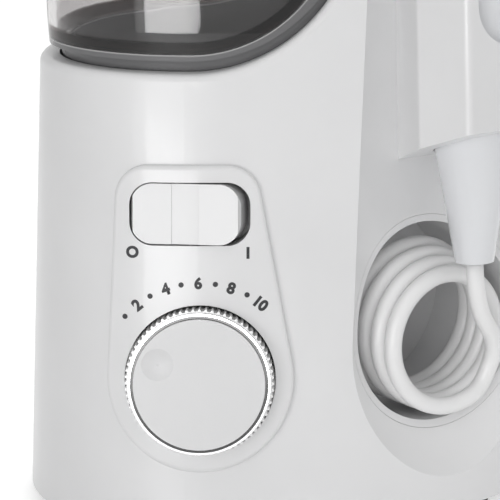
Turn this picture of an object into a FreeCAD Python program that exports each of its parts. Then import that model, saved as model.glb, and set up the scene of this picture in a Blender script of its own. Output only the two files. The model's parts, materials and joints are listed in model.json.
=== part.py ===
"""Countertop water flosser: white housing with a control panel, a smoked tank and a handle with a hose.

Millimetres, +Z up, front towards -Y. The origin is on the table, under the middle of the object.
"""
import FreeCAD, Part
import math
import os
import Sketcher

Vector = FreeCAD.Vector
Rotation = FreeCAD.Rotation
Placement = FreeCAD.Placement

DIMENSIONS = {
    # housing: reaches at table height, leans in degrees, poles of the four quarter ellipses of its plan
    "foot_height": 3, "housing_top": 188, "left_reach": 70.5, "right_reach": 70.5,
    "front_reach": 52.5, "back_reach": 57.5, "left_lean": 1.9, "right_lean": 2, "front_lean": 7,
    "back_lean": 1.5, "front_pole": -28, "back_pole": 0, "left_pole": -4, "right_pole": 20,
    "shell_wall": 2.6, "fit_gap": 0.1, "seat_gap": 0.3,
    # rim of the tank recess
    "lip_height": 118, "lip_width": 5, "lip_round": 2, "sweep_radius": 42, "sweep_centre": -26.5,
    "recess_depth": 12, "recess_end": 10,
    # handle bay and hose well
    "bay_angle": 35, "bay_across": 40, "bay_height": 50, "bay_radius": 56, "bay_offset": 44,
    "bay_lean": 3, "bay_drift": 2.5, "well_radius": 27.4, "well_depth": 42, "well_wall": 1.8,
    # bottom
    "plate_thick": 3, "foot_radius": 7, "foot_angle": 34, "post_angle": 60, "post_radius": 4.2,
    "post_height": 14, "screw_radius": 1.6, "screw_head": 3.2, "screw_head_thick": 1.5, "screw_length": 14,
    # control panel
    "panel_thick": 2.5, "panel_round": 1.2, "panel_low_radius": 23.6, "panel_top_radius": 8.5,
    "panel_top_rise": 45.7, "panel_top_left": 13, "panel_top_right": 6.75,
    # dial
    "dial_across": -24, "dial_drop": 76, "dial_hole": 19.1, "socket_wall": 1.3, "socket_floor": 2,
    "socket_depth": 12, "knurl_radius": 18.7, "knurl_depth": 0.5, "knurl_count": 72, "knurl_back": 8,
    "knurl_front": 4.4, "bezel_radius": 17.8, "bezel_width": 0.5, "bezel_front": 6.2, "core_front": 5.9,
    "face_radius": 16.5, "face_front": 7, "face_thick": 2, "dimple_radius": 12, "dimple_depth": 0.7,
    "dimple_offset": 11.6, "dimple_angle": 154, "shaft_radius": 3, "shaft_gap": 0.08,
    # rocker switch
    "rocker_across": -2.6, "rocker_rise": 42, "rocker_half": 14.85, "rocker_tall": 7.6,
    "rocker_corner": 5.5, "rocker_tilt": 9, "rocker_pivot": 7, "rocker_arc": 15.1, "rocker_thick": 9,
    "rocker_gap": 0.35, "pin_radius": 1.5, "switch_half": 18, "switch_tall": 10.5, "switch_front": 8.8,
    "switch_back": 20, "ear_half": 4, "ear_front": 5.7, "board_thick": 1.6, "board_half": 21,
    "board_tall": 14,
    # pressure regulator behind the dial
    "regulator_radius": 10, "regulator_length": 24, "needle_radius": 4, "needle_length": 12,
    "needle_travel": 2, "spigot_radius": 3.2,
    # tank
    "tank_top": 236, "tank_wall": 2.4, "tank_gap": 0.6, "tank_lift": 3, "tank_flare": 6,
    "tank_neck": 7, "tank_neck_inset": 1.5, "lid_height": 12, "lid_wall": 2.5, "lid_taper": 3,
    "skirt_depth": 4, "skirt_gap": 0.4,
    "store_length": 42, "store_width": 38, "store_depth": 8, "store_across": -19, "store_back": 2,
    "lid_round": 3, "cover_thick": 2, "hinge_radius": 1.2, "hinge_wall": 0.6,
    "valve_across": -35.5, "valve_back": 5, "valve_hole": 5, "valve_radius": 8, "valve_stem": 3,
    "valve_thick": 2, "seal_thick": 1.2, "grommet_radius": 8, "grommet_bore": 3,
    "grommet_stand": 0.3, "grommet_wall": 1.2,
    # pump drive
    "drive_across": 0, "drive_back": 23, "motor_height": 27, "motor_radius": 14, "motor_length": 38,
    "rotor_radius": 1.6, "frame_thick": 3, "frame_half": 17, "gear_module": 0.85, "pinion_teeth": 16,
    "gear_teeth": 40, "gear_face": 6, "gear_backlash": 0.3, "axle_radius": 2.5, "crank_throw": 2,
    "crank_radius": 1.5, "crank_length": 5.5, "rod_thick": 3.2, "rod_wall": 1.8, "rod_gap": 0.25,
    "piston_radius": 5, "piston_length": 12, "piston_gap": 0.05, "cylinder_wall": 2.6,
    "cylinder_length": 24, "cylinder_lead": 2, "head_thick": 7, "head_gap": 3.6, "head_wall": 1,
    "spigot_length": 5, "spigot_outlet": 4, "spigot_back": 6, "arm_thick": 4, "arm_drop": 4,
    "arm_rim": 3, "shoe_length": 12,
    "tube_radius": 2.8, "tube_bore": 1.8, "tube_run": 8, "grommet_length": 10,
    # mains cord gland
    "gland_height": 20, "gland_radius": 5.5, "gland_bore": 3.1, "gland_length": 11, "gland_flange": 1.8,
    # handle, measured along its own axis from its lower end
    "handle_right": 5.15, "handle_out": 2.5, "handle_low": 67.7, "nose_radius": 5, "nose_length": 31,
    "neck_radius": 10, "grip_start": 46, "grip_radius": 13, "waist_height": 98, "waist_radius": 14,
    "handle_length": 138, "crown_drop": 10, "crown_radius": 8.5, "handle_wall": 2,
    "handle_gap": 0.5, "button_pitch": 15, "button_radius": 5.5, "button_rise": 0.9, "button_flange": 1.2,
    "release_drop": 15, "release_radius": 3.2, "collar_radius": 7.5,
    "collar_thick": 6, "collar_stem": 4.8, "tip_radius": 3, "tip_end_radius": 1.5, "tip_length": 52,
    "tip_bore": 0.6,
    # cradle around the handle
    "cradle_low": 25.4, "cradle_top": 99, "cradle_half": 18.5, "cradle_flat": 14, "cradle_front": 16.8,
    "cradle_side": 2, "cradle_back": 24, "cradle_back_half": 9.5, "cradle_round": 2, "cradle_notch": 10.5,
    "cradle_notch_low": 57.5, "cradle_slant": 18,
    # hose
    "hose_radius": 2.3, "coil_outer": 19.6, "coil_inner": 14.8, "coil_front": 1.5, "coil_length": 29,
    "coil_across": 2.5, "barb_radius": 3.4, "barb_bore": 1.5, "barb_out": 2, "barb_across": -11,
    "barb_drop": 17,
}

FAR = 400.0
doc = FreeCAD.newDocument("water_flosser")
dim = doc.addObject("Spreadsheet::Sheet", "dim")
for row, (alias, amount) in enumerate(DIMENSIONS.items(), start=1):
    dim.set("A%d" % row, alias)
    dim.set("B%d" % row, str(amount))
    dim.setAlias("B%d" % row, alias)
doc.recompute()


def size(expression):
    """Value of an expression in the sheet's names."""
    return float(dim.evalExpression(expression))


def bound(expression):
    """The expression as other objects of the document write it."""
    names = sorted(DIMENSIONS, key=len, reverse=True)
    words = []
    word = ""
    for sign in expression + " ":
        if sign.isalnum() or sign in "_.":
            word += sign
            continue
        words.append("dim." + word if word in names else word)
        words.append(sign)
        word = ""
    return "".join(words).strip()


# ---- helpers that make document objects ----

def at(x=0.0, y=0.0, z=0.0, turn=None):
    """Placement at a point with an optional rotation."""
    return Placement(Vector(x, y, z), turn or Rotation())


def moved(place, x=0.0, y=0.0, z=0.0, turn=None):
    """A placement given inside another one."""
    return place.multiply(at(x, y, z, turn))


def cylinder(label, radius, height, place):
    """Cylinder bound to the sheet, standing on its placement."""
    piece = doc.addObject("Part::Cylinder", label)
    piece.setExpression("Radius", bound(radius))
    piece.setExpression("Height", bound(height))
    piece.Placement = place
    return piece


def block(label, length, width, height, place):
    """Box bound to the sheet, centred in X and Y on its placement and standing on it."""
    piece = doc.addObject("Part::Box", label)
    piece.setExpression("Length", bound(length))
    piece.setExpression("Width", bound(width))
    piece.setExpression("Height", bound(height))
    piece.Placement = moved(place, -size(length) / 2, -size(width) / 2, 0)
    return piece


def cut(label, base, tool):
    piece = doc.addObject("Part::Cut", label)
    piece.Base = base
    piece.Tool = tool
    return piece


def fuse(label, *parts):
    piece = doc.addObject("Part::MultiFuse", label)
    piece.Shapes = list(parts)
    return piece


def tube(label, outer, inner, height, place):
    """Ring or sleeve: a cylinder with a concentric bore that runs past both ends."""
    solid = cylinder(label + "_outside", outer, height, place)
    bore = cylinder(label + "_bore", inner, height + " + 2", moved(place, 0, 0, -1))
    return cut(label, solid, bore)


def turned(label, profile, place):
    """PartDesign body turned about its local Z from (radius, height) expressions."""
    body = doc.addObject("PartDesign::Body", label)
    sketch = body.newObject("Sketcher::SketchObject", label + "_profile")
    plane = [item for item in body.Origin.OriginFeatures if item.Role == "XZ_Plane"][0]
    sketch.AttachmentSupport = [(plane, "")]
    sketch.MapMode = "FlatFace"
    corners = [Vector(size(radius), size(height), 0) for radius, height in profile]
    for index, corner in enumerate(corners):
        sketch.addGeometry(Part.LineSegment(corner, corners[(index + 1) % len(corners)]), False)
    for index in range(len(corners)):
        following = (index + 1) % len(corners)
        sketch.addConstraint(Sketcher.Constraint("Coincident", index, 2, following, 1))
    for index, (radius, height) in enumerate(profile):
        for kind, expression, amount in (("DistanceX", radius, corners[index].x),
                                         ("DistanceY", height, corners[index].y)):
            number = sketch.addConstraint(Sketcher.Constraint(kind, -1, 1, index, 1, amount))
            sketch.setExpression("Constraints[%d]" % number, bound(expression))
    turn = body.newObject("PartDesign::Revolution", label + "_turn")
    turn.Profile = sketch
    turn.ReferenceAxis = (sketch, ["V_Axis"])
    turn.Angle = 360
    body.Placement = place
    return body


def formed(label, shape, place=None):
    """Free form that neither a sketch nor a primitive describes."""
    piece = doc.addObject("Part::Feature", label)
    piece.Shape = shape
    piece.Placement = place or Placement()
    return piece


# ---- shapes shared by several pieces ----

def line(start, end):
    return Part.LineSegment(start, end).toShape()


def arc(start, middle, end):
    return Part.Arc(start, middle, end).toShape()


def quarter(start, corner, end):
    """Quarter ellipse from start to end, tangent to both legs of its corner."""
    curve = Part.BezierCurve()
    curve.setPoles([start, corner, end])
    curve.setWeight(2, math.sqrt(0.5))
    return curve.toShape()


def lean(name, height):
    return height * math.tan(math.radians(size(name)))


def plan_limits(height, inset):
    """Left, right, front and back reach of the housing's plan at a height."""
    left = -size("left_reach") + lean("left_lean", height) + inset
    right = size("right_reach") - lean("right_lean", height) - inset
    front = -size("front_reach") + lean("front_lean", height) + inset
    back = size("back_reach") - lean("back_lean", height) - inset
    return left, right, front, back


def plan_wire(height, inset):
    """Plan of the housing at a height: four quarter ellipses that meet at the poles."""
    left, right, front, back = plan_limits(height, inset)
    west = Vector(left, size("left_pole"), height)
    east = Vector(right, size("right_pole"), height)
    south = Vector(size("front_pole"), front, height)
    north = Vector(size("back_pole"), back, height)
    return Part.Wire([
        quarter(south, Vector(right, front, height), east),
        quarter(east, Vector(right, back, height), north),
        quarter(north, Vector(left, back, height), west),
        quarter(west, Vector(left, front, height), south),
    ])


def housing_block(inset, low, high, high_inset=None):
    """Solid between two plans of the housing, each drawn in by its inset."""
    top_inset = inset if high_inset is None else high_inset
    return Part.makeLoft([plan_wire(low, inset), plan_wire(high, top_inset)], True, True)


def front_surface(across, height):
    """Y of the housing's front at a place right of its front pole."""
    left, right, front, back = plan_limits(height, 0)
    share = (across - size("front_pole")) / (right - size("front_pole"))
    return size("right_pole") - (size("right_pole") - front) * math.sqrt(1 - share * share)


def sweep(extra, rise=0.0):
    """Everything above the curved rim, with the rim's profile grown by extra and lifted by rise."""
    radius = size("sweep_radius") + extra
    centre = Vector(size("sweep_centre"), -FAR, size("lip_height") + size("sweep_radius") + rise)
    low = centre + Vector(0, 0, -radius)
    side = centre + Vector(radius, 0, 0)
    middle = centre + Vector(radius * math.sqrt(0.5), 0, -radius * math.sqrt(0.5))
    far_low = low + Vector(-FAR, 0, 0)
    far_high = far_low + Vector(0, 0, FAR)
    high = Vector(side.x, side.y, far_high.z)
    wire = Part.Wire([line(far_low, low), arc(low, middle, side), line(side, high),
                      line(high, far_high), line(far_high, far_low)])
    return Part.Face(wire).extrude(Vector(0, 2 * FAR, 0))


BAY_TURN = math.radians(size("bay_angle"))
BAY_OUT = Vector(math.sin(BAY_TURN), -math.cos(BAY_TURN), 0)
BAY_RIGHT = Vector(math.cos(BAY_TURN), math.sin(BAY_TURN), 0)
BAY_RIM = Vector(size("bay_across"), front_surface(size("bay_across"), size("bay_height")),
                 size("bay_height"))
BAY_LEAN = math.radians(size("bay_lean"))
BAY_AXIS = Vector(0, 0, math.cos(BAY_LEAN)) - BAY_OUT * math.sin(BAY_LEAN)


def bay_point(right, out, height):
    """Point given to the right of the bay's middle, out from its rim, and above the table."""
    return BAY_RIM + BAY_RIGHT * right + BAY_OUT * out + Vector(0, 0, height - size("bay_height"))


def bay(extra):
    """Round groove that the handle hangs in: a leaning cylinder that ends in a ball."""
    centre = bay_point(0, size("bay_offset"), size("bay_height"))
    radius = size("bay_radius") + extra
    drift = math.tan(math.radians(size("bay_drift")))
    groove = Part.makeCylinder(radius, FAR, centre, BAY_AXIS + BAY_RIGHT * drift)
    return groove.fuse(Part.makeSphere(radius, centre)).removeSplitter()


def well_cylinder(radius, deep, out):
    """Cylinder about the hose well's axis from a depth behind the rim to a distance before it."""
    return Part.makeCylinder(radius, deep + out, bay_point(0, -deep, size("bay_height")), BAY_OUT)


WELL_PLACE = Placement(bay_point(0, 0, size("bay_height")), Rotation(Vector(0, 0, 1), BAY_OUT))


def panel_frame():
    """Local frame of the control panel: X to the right, Y up the panel, Z out of it."""
    across = size("dial_across")
    height = size("lip_height - dial_drop")
    outward = Vector(0, -math.cos(math.radians(size("front_lean"))),
                     math.sin(math.radians(size("front_lean"))))
    left, right, front, back = plan_limits(height, 0)
    origin = Vector(across, front, height) + outward * size("panel_thick")
    return Placement(origin, Rotation(Vector(1, 0, 0), 90 - size("front_lean")))


PANEL = panel_frame()
ROCKER = moved(PANEL, size("rocker_across"), size("rocker_rise"), 0)
HANDLE = Placement(bay_point(size("handle_right"), size("handle_out"), size("handle_low")),
                   Rotation(BAY_RIGHT, -size("bay_lean")).multiply(
                       Rotation(Vector(0, 0, 1), size("bay_angle"))))
FRONTWARDS = Rotation(Vector(1, 0, 0), 90)
SIDEWAYS = Rotation(Vector(0, 1, 0), 90)


def hull_wire(circles):
    """Outline round circles given anticlockwise as (x, y, radius): arcs joined by tangents."""
    tangents = []
    for index, (x, y, radius) in enumerate(circles):
        next_x, next_y, next_radius = circles[(index + 1) % len(circles)]
        heading = math.atan2(next_y - y, next_x - x)
        span = math.hypot(next_x - x, next_y - y)
        normal = heading - math.acos((radius - next_radius) / span)
        tangents.append(normal)
    edges = []
    for index, (x, y, radius) in enumerate(circles):
        next_x, next_y, next_radius = circles[(index + 1) % len(circles)]
        first = tangents[index - 1]
        last = tangents[index]
        while last < first:
            last += 2 * math.pi
        start, middle, end = [Vector(x + radius * math.cos(angle), y + radius * math.sin(angle), 0)
                              for angle in (first, (first + last) / 2, last)]
        edges.append(arc(start, middle, end))
        leave = Vector(next_x + next_radius * math.cos(last), next_y + next_radius * math.sin(last), 0)
        edges.append(line(end, leave))
    return Part.Wire(edges)


def pill(half, tall, corner, low, high):
    """Prism with a rounded rectangle as its section, along local Z."""
    circles = [(side * (half - corner), rise * (tall - corner), corner)
               for side, rise in ((-1, -1), (1, -1), (1, 1), (-1, 1))]
    face = Part.Face(hull_wire(circles))
    face.translate(Vector(0, 0, low))
    return face.extrude(Vector(0, 0, high - low))


def placed(shape, place):
    copy = shape.copy()
    copy.Placement = place.multiply(copy.Placement)
    return copy


def rocker_hole():
    gap = size("rocker_gap")
    hole = pill(size("rocker_half") + gap, size("rocker_tall") + gap, size("rocker_corner") + gap,
                -size("switch_front") - 2 * size("panel_thick"), 2 * size("panel_thick"))
    return placed(hole, ROCKER)


def dial_hole(radius):
    deep = 2 * size("socket_depth")
    return placed(Part.makeCylinder(radius, 2 * deep, Vector(0, 0, -deep)), PANEL)


def plan_points(angles, inset, height):
    """One point per quarter of the plan, at an angle from its sideways pole, drawn in by inset."""
    left, right, front, back = plan_limits(height, inset)
    south, north = size("front_pole"), size("back_pole")
    west, east = size("left_pole"), size("right_pole")
    quarters = [(south, west, left - south, front - west), (south, east, right - south, front - east),
                (north, east, right - north, back - east), (north, west, left - north, back - west)]
    points = []
    for angle, (x, y, reach, depth) in zip(angles, quarters):
        turn = math.radians(angle)
        points.append(Vector(x + reach * math.cos(turn), y + depth * math.sin(turn), height))
    return points


def post_points():
    """Middles of the four screw posts, close to the housing's wall."""
    inset = size("shell_wall + post_radius * 0.8")
    return plan_points([size("post_angle")] * 4, inset, size("foot_height"))


def foot_points():
    inset = size("shell_wall + foot_radius + 2")
    return plan_points([size("foot_angle")] * 4, inset, 0)


# ---- housing ----

def make_base_shell():
    """White housing: leaning shell with the tank recess, the handle bay and its openings."""
    low = size("foot_height")
    top = size("housing_top")
    wall = size("shell_wall")
    outside = housing_block(0, low, top).cut(sweep(0))
    rim = [edge for edge in outside.Edges if edge_on_sweep(edge, 0)]
    outside = outside.makeFillet(size("lip_round"), rim)
    outside = outside.cut(bay(0))
    outside = outside.cut(recess_form(0))
    inside = housing_block(wall, low - 1, top - wall)
    inside = inside.cut(sweep(wall)).cut(bay(wall))
    inside = inside.cut(recess_form(wall))
    for point in post_points():
        post = Part.makeCylinder(size("post_radius"), size("post_height"), point - Vector(0, 0, 2))
        inside = inside.cut(post)
    shell = outside.cut(inside)
    shell = shell.cut(well_cylinder(size("well_radius") + size("fit_gap"), size("well_depth") + 2, FAR / 10))
    shell = shell.cut(dial_hole(size("dial_hole") + size("socket_wall") + size("fit_gap")))
    shell = shell.cut(rocker_hole())
    shell = shell.cut(base_plate_block(size("fit_gap")))
    for point in post_points():
        pilot = Part.makeCylinder(size("screw_radius"), size("screw_length") + 2 * size("plate_thick"), point)
        shell = shell.cut(pilot)
    shell = shell.cut(valve_bore(size("grommet_radius") - 2))
    shell = shell.cut(gland_bore(size("gland_radius")))
    return formed("base_shell", largest(shell))


def recess_form(extra):
    """Recess for the tank's foot, grown outwards by extra; its upright walls let the foot lift out."""
    room = upright_block(size("lip_width") - extra, size("recess_end") + extra)
    return room.common(sweep(size("recess_depth") + extra)).cut(bay(size("lip_width") - extra))


def upright_block(inset, end):
    """Upright prism on the rim's plan, drawn in by an inset and ended at the right."""
    low = size("lip_height") - 2 * size("recess_depth")
    face = Part.Face(plan_wire(size("lip_height"), inset))
    face.translate(Vector(0, 0, low - size("lip_height")))
    left_part = Part.makeBox(FAR, 2 * FAR, FAR, Vector(end - FAR, -FAR, low))
    return face.extrude(Vector(0, 0, FAR)).common(left_part)


def edge_on_sweep(edge, extra):
    """Whether an edge lies on the curved rim's face and runs along it."""
    centre_x = size("sweep_centre")
    centre_z = size("lip_height") + size("sweep_radius")
    radius = size("sweep_radius") + extra
    for step in range(5):
        first, last = edge.ParameterRange
        point = edge.valueAt(first + (last - first) * step / 4)
        if point.x < centre_x:
            off = abs(point.z - (centre_z - radius))
        elif point.z < centre_z:
            off = abs(math.hypot(point.x - centre_x, point.z - centre_z) - radius)
        else:
            off = abs(point.x - centre_x - radius)
        if off > 0.01:
            return False
    start = edge.valueAt(edge.ParameterRange[0])
    end = edge.valueAt(edge.ParameterRange[1])
    straight_across = abs(start.x - end.x) < 0.01 and abs(start.z - end.z) < 0.01
    return not straight_across


def largest(shape):
    """The main solid of a cut, without slivers."""
    return max(shape.Solids, key=lambda solid: solid.Volume)


def base_plate_block(grow):
    low = size("foot_height")
    return housing_block(size("shell_wall") / 2 - grow, low - 1, low + size("plate_thick"))


def make_base_plate():
    """Flat bottom with four screw holes."""
    low = size("foot_height")
    plate = housing_block(size("shell_wall") / 2, low, low + size("plate_thick"))
    for point in post_points():
        plate = plate.cut(Part.makeCylinder(size("screw_radius") + size("fit_gap"), FAR, point - Vector(0, 0, 1)))
        plate = plate.cut(Part.makeCylinder(size("screw_head") + size("fit_gap"), size("screw_head_thick") + 1,
                                            point - Vector(0, 0, 1)))
    return formed("base_plate", plate)


def make_base_screws():
    """Four screws from below, heads sunk in the plate."""
    screws = []
    for index, point in enumerate(post_points()):
        place = at(point.x, point.y, point.z)
        head = cylinder("screw_head_%d" % index, "screw_head", "screw_head_thick", place)
        shank = cylinder("screw_shank_%d" % index, "screw_radius - 0.05", "screw_length", place)
        screws.append(fuse("screw_%d" % index, head, shank))
    group = doc.addObject("Part::Compound", "base_screws")
    group.Links = screws
    return group


def make_rubber_feet():
    feet = []
    for index, point in enumerate(foot_points()):
        feet.append(cylinder("foot_%d" % index, "foot_radius", "foot_height", at(point.x, point.y, 0)))
    group = doc.addObject("Part::Compound", "rubber_feet")
    group.Links = feet
    return group


def make_hose_well():
    """White cup behind the opening that holds the hose."""
    radius = size("well_radius")
    wall = size("well_wall")
    deep = size("well_depth")
    cup = well_cylinder(radius, deep, FAR / 10).cut(well_cylinder(radius - wall, deep - wall, FAR / 8))
    cup = cup.common(housing_block(0, size("foot_height"), size("housing_top"))).cut(bay(0))
    barb = placed(Part.makeCylinder(size("barb_radius") + size("fit_gap"), 2 * deep,
                                    Vector(size("barb_across"), -size("barb_drop"), -1.5 * deep)), barb_frame())
    return formed("hose_well", largest(cup.cut(barb)))


def barb_frame():
    """Hose well frame with local X to the right, Y up and Z out of the well."""
    turn = Rotation(BAY_RIGHT, Vector(0, 0, 1), BAY_OUT, "ZXY")
    return Placement(bay_point(0, 0, size("bay_height")), turn)


def make_hose_outlet():
    """Barb through the well's floor that feeds the hose."""
    place = moved(barb_frame(), size("barb_across"), -size("barb_drop"), -size("well_depth + barb_out"))
    length = "well_depth + barb_out - coil_front - coil_length"
    return tube("hose_outlet", "barb_radius", "barb_bore", length, place)


def make_hose_coil():
    """Outer shape of the coiled hose, resting on the well's lower wall."""
    rest = size("well_radius - well_wall - coil_outer - seat_gap")
    across = size("coil_across")
    place = moved(barb_frame(), across, -math.sqrt(rest ** 2 - across ** 2), -size("coil_front + coil_length"))
    return tube("hose_coil", "coil_outer", "coil_inner", "coil_length", place)


def hose_route():
    """Points of the hose from the handle's lower end into the coil."""
    start = HANDLE.Base
    below = HANDLE.multVec(Vector(0, 0, -12.2))
    return [start, below, bay_point(17.2, -2.5, 43.5), bay_point(14.9, -4.8, 33)]


def make_hose_lead():
    """Hose between the handle and the coil: straight runs joined by tangent arcs."""
    points = hose_route()
    edges = []
    radii = []
    start = points[0]
    for before, corner, after in zip(points, points[1:], points[2:]):
        towards = (before - corner).normalize()
        onwards = (after - corner).normalize()
        run = min((before - corner).Length, (after - corner).Length)
        half_turn = (math.pi - towards.getAngle(onwards)) / 2
        reach = 0.45 * run
        radius = reach / math.tan(half_turn)
        radii.append(radius)
        enter = corner + towards * reach
        leave = corner + onwards * reach
        inward = (towards + onwards).normalize()
        middle = corner + inward * (radius / math.cos(half_turn) - radius)
        edges.append(line(start, enter))
        edges.append(arc(enter, middle, leave))
        start = leave
    edges.append(line(start, points[-1]))
    path = Part.Wire(edges)
    heading = (points[1] - points[0]).normalize()
    section = Part.Wire([Part.Circle(points[0], heading, size("hose_radius")).toShape()])
    hose = path.makePipeShell([section], True, False)
    length = sum(edge.Length for edge in edges)
    share = hose.Volume / (math.pi * size("hose_radius") ** 2 * length)
    print("hose_lead radii", [round(radius, 1) for radius in radii], "length", round(length, 1),
          "volume share", round(share, 4))
    return formed("hose_lead", hose)


def make_cradle():
    """Faceted cup that holds the handle, with a round notch at the front and a slanted underside."""
    half = size("cradle_half")
    flat = size("cradle_flat")
    rear = size("cradle_back_half")
    corners = [(-rear, size("cradle_back")), (-half, -size("cradle_side")), (-flat, -size("cradle_front")),
               (flat, -size("cradle_front")), (half, -size("cradle_side")), (rear, size("cradle_back"))]
    low = size("cradle_low")
    high = size("cradle_top")
    outline = [Vector(x, y, low) for x, y in corners]
    face = Part.Face(Part.makePolygon(outline + outline[:1]))
    cup = face.extrude(Vector(0, 0, high - low))
    upright = [edge for edge in cup.Edges if abs(edge.tangentAt(edge.ParameterRange[0]).z) > 0.9]
    cup = cup.makeFillet(size("cradle_round"), [edge for edge in upright if edge.Vertexes[0].Y < 0])
    radius = size("cradle_notch")
    bottom = size("cradle_notch_low") + radius
    notch = Part.makeCylinder(radius, FAR, Vector(0, 0, bottom), Vector(0, -1, 0))
    notch = notch.fuse(Part.makeBox(2 * radius, FAR, FAR, Vector(-radius, -FAR, bottom)))
    below = Part.makeBox(FAR, 2 * FAR, FAR, Vector(-FAR / 2, -FAR, -FAR))
    below.rotate(Vector(0, 0, 0), Vector(1, 0, 0), -size("cradle_slant"))
    below.translate(Vector(0, size("cradle_front"), low))
    cup = cup.cut(notch).cut(below).cut(handle_form(size("handle_gap")))
    cup = placed(cup, HANDLE)
    housing = housing_block(0, size("foot_height"), size("housing_top")).cut(bay(0))
    return formed("handle_cradle", largest(cup.cut(housing)))


def handle_profile(grow):
    """Outline of the handle as (radius, height) pairs, grown outwards."""
    return [(size("nose_radius") + grow, 0), (size("neck_radius") + grow, size("nose_length")),
            (size("grip_radius") + grow, size("grip_start")), (size("waist_radius") + grow, size("waist_height")),
            (size("grip_radius") + grow, size("handle_length - crown_drop")),
            (size("crown_radius") + grow, size("handle_length"))]


def handle_radius(height):
    """Outer radius of the handle at a height along its axis."""
    profile = handle_profile(0)
    for (low_radius, low), (high_radius, high) in zip(profile, profile[1:]):
        if height <= high:
            return low_radius + (high_radius - low_radius) * (height - low) / (high - low)
    return profile[-1][0]


def handle_form(grow):
    """Solid of the whole handle, grown outwards."""
    points = [Vector(0, 0, 0)] + [Vector(radius, 0, height) for radius, height in handle_profile(grow)]
    points.append(Vector(0, 0, points[-1].z))
    face = Part.Face(Part.makePolygon(points + points[:1]))
    return face.revolve(Vector(0, 0, 0), Vector(0, 0, 1), 360)


def make_panel():
    """Raised teardrop pad that follows the housing's front."""
    rise = size("panel_top_rise")
    circles = [(0, 0, size("panel_low_radius")), (size("panel_top_right"), rise, size("panel_top_radius")),
               (-size("panel_top_left"), rise, size("panel_top_radius"))]
    prism = Part.Face(hull_wire(circles))
    prism.translate(Vector(0, 0, -2 * size("socket_depth")))
    prism = placed(prism.extrude(Vector(0, 0, 3 * size("socket_depth"))), PANEL)
    low = size("foot_height")
    high = size("lip_height")
    pad = housing_block(-size("panel_thick"), low, high).common(prism)
    pad = largest(pad)
    outer = min(pad.Faces, key=lambda face: face.CenterOfMass.y)
    pad = pad.makeFillet(size("panel_round"), outer.Edges)
    pad = pad.cut(housing_block(0, low - 1, high + 1))
    pad = pad.cut(dial_hole(size("dial_hole"))).cut(rocker_hole())
    return formed("control_panel", largest(pad))


# ---- dial ----

def make_dial_socket():
    """Black cup behind the dial; its front edge follows the housing."""
    deep = size("socket_depth")
    wall = size("socket_wall")
    floor = size("socket_floor")
    bore = size("dial_hole")
    cup = Part.makeCylinder(bore + wall, 2 * deep + floor, Vector(0, 0, -deep - floor))
    cup = cup.cut(Part.makeCylinder(bore, 3 * deep, Vector(0, 0, -deep)))
    cup = cup.cut(Part.makeCylinder(size("shaft_radius") + size("shaft_gap"), 4 * deep, Vector(0, 0, -2 * deep)))
    cup = placed(cup, PANEL)
    return formed("dial_socket", largest(cup.common(housing_block(0, size("foot_height"), size("lip_height")))))


def make_knurled_ring():
    """Grip ring with fine teeth."""
    outer = size("knurl_radius")
    depth = size("knurl_depth")
    count = int(size("knurl_count"))
    points = []
    for tooth in range(count):
        for share, radius in ((-0.3, outer - depth), (-0.12, outer), (0.12, outer), (0.3, outer - depth)):
            angle = 2 * math.pi * (tooth + share) / count
            points.append(Vector(radius * math.cos(angle), radius * math.sin(angle), -size("knurl_back")))
    face = Part.Face(Part.makePolygon(points + points[:1]))
    ring = face.extrude(Vector(0, 0, size("knurl_back") + size("knurl_front")))
    ring = ring.cut(Part.makeCylinder(core_radius(), FAR, Vector(0, 0, -FAR / 2)))
    return formed("dial_knurled_ring", ring, PANEL)


def core_radius():
    return size("bezel_radius - bezel_width")


def make_dial_bezel():
    return tube("dial_bezel", "bezel_radius", "bezel_radius - bezel_width", "bezel_front - knurl_front",
                moved(PANEL, 0, 0, size("knurl_front")))


def make_dial_core():
    """Black core that shows as a band between the bezel and the face."""
    core = "bezel_radius - bezel_width"
    seat = "face_front - face_thick"
    back = "-knurl_back"
    return turned("dial_core", [("0", back), (core, back), (core, "core_front"), ("face_radius", "core_front"),
                                ("face_radius", seat), ("0", seat)], PANEL)


def make_dial_face():
    """Satin face with a finger dimple."""
    disc = cylinder("dial_face_disc", "face_radius", "face_thick", moved(PANEL, 0, 0, size("face_front - face_thick")))
    angle = math.radians(size("dimple_angle"))
    offset = size("dimple_offset")
    ball = doc.addObject("Part::Sphere", "dial_face_dimple")
    ball.setExpression("Radius", "dim.dimple_radius")
    ball.Placement = moved(PANEL, offset * math.cos(angle), offset * math.sin(angle),
                           size("face_front + dimple_radius - dimple_depth"))
    return cut("dial_face", disc, ball)


def make_dial_shaft():
    length = "socket_depth + socket_floor - knurl_back + spigot_radius * 2"
    return cylinder("dial_shaft", "shaft_radius", length,
                    moved(PANEL, 0, 0, -size("knurl_back") - size(length)))


def regulator_back():
    return size("socket_depth + socket_floor + regulator_length")


def make_regulator():
    """Valve body behind the dial, bored for the shaft and for its needle."""
    radius = size("regulator_radius")
    back = regulator_back()
    body = Part.makeCylinder(radius, size("regulator_length"), Vector(0, 0, -back))
    bore = Part.makeCylinder(size("needle_radius") + size("fit_gap"), size("regulator_length - tube_radius"),
                             Vector(0, 0, -back + size("tube_radius")))
    spigot = size("spigot_radius")
    middle = Vector(0, 0, size("spigot_back") - back)
    outlet = Part.makeCylinder(spigot, radius + size("spigot_length"), middle, Vector(-1, 0, 0))
    inlet = Part.makeCylinder(spigot, radius + size("spigot_outlet"), middle, Vector(0, 1, 0))
    inflow = Part.makeCylinder(size("barb_bore"), 4 * radius, middle, Vector(0, 1, 0))
    outflow = Part.makeCylinder(size("barb_bore"), 4 * radius, middle, Vector(-1, 0, 0))
    body = body.fuse(inlet).fuse(outlet).cut(bore).cut(inflow).cut(outflow)
    return formed("regulator_body", body, PANEL)


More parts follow.
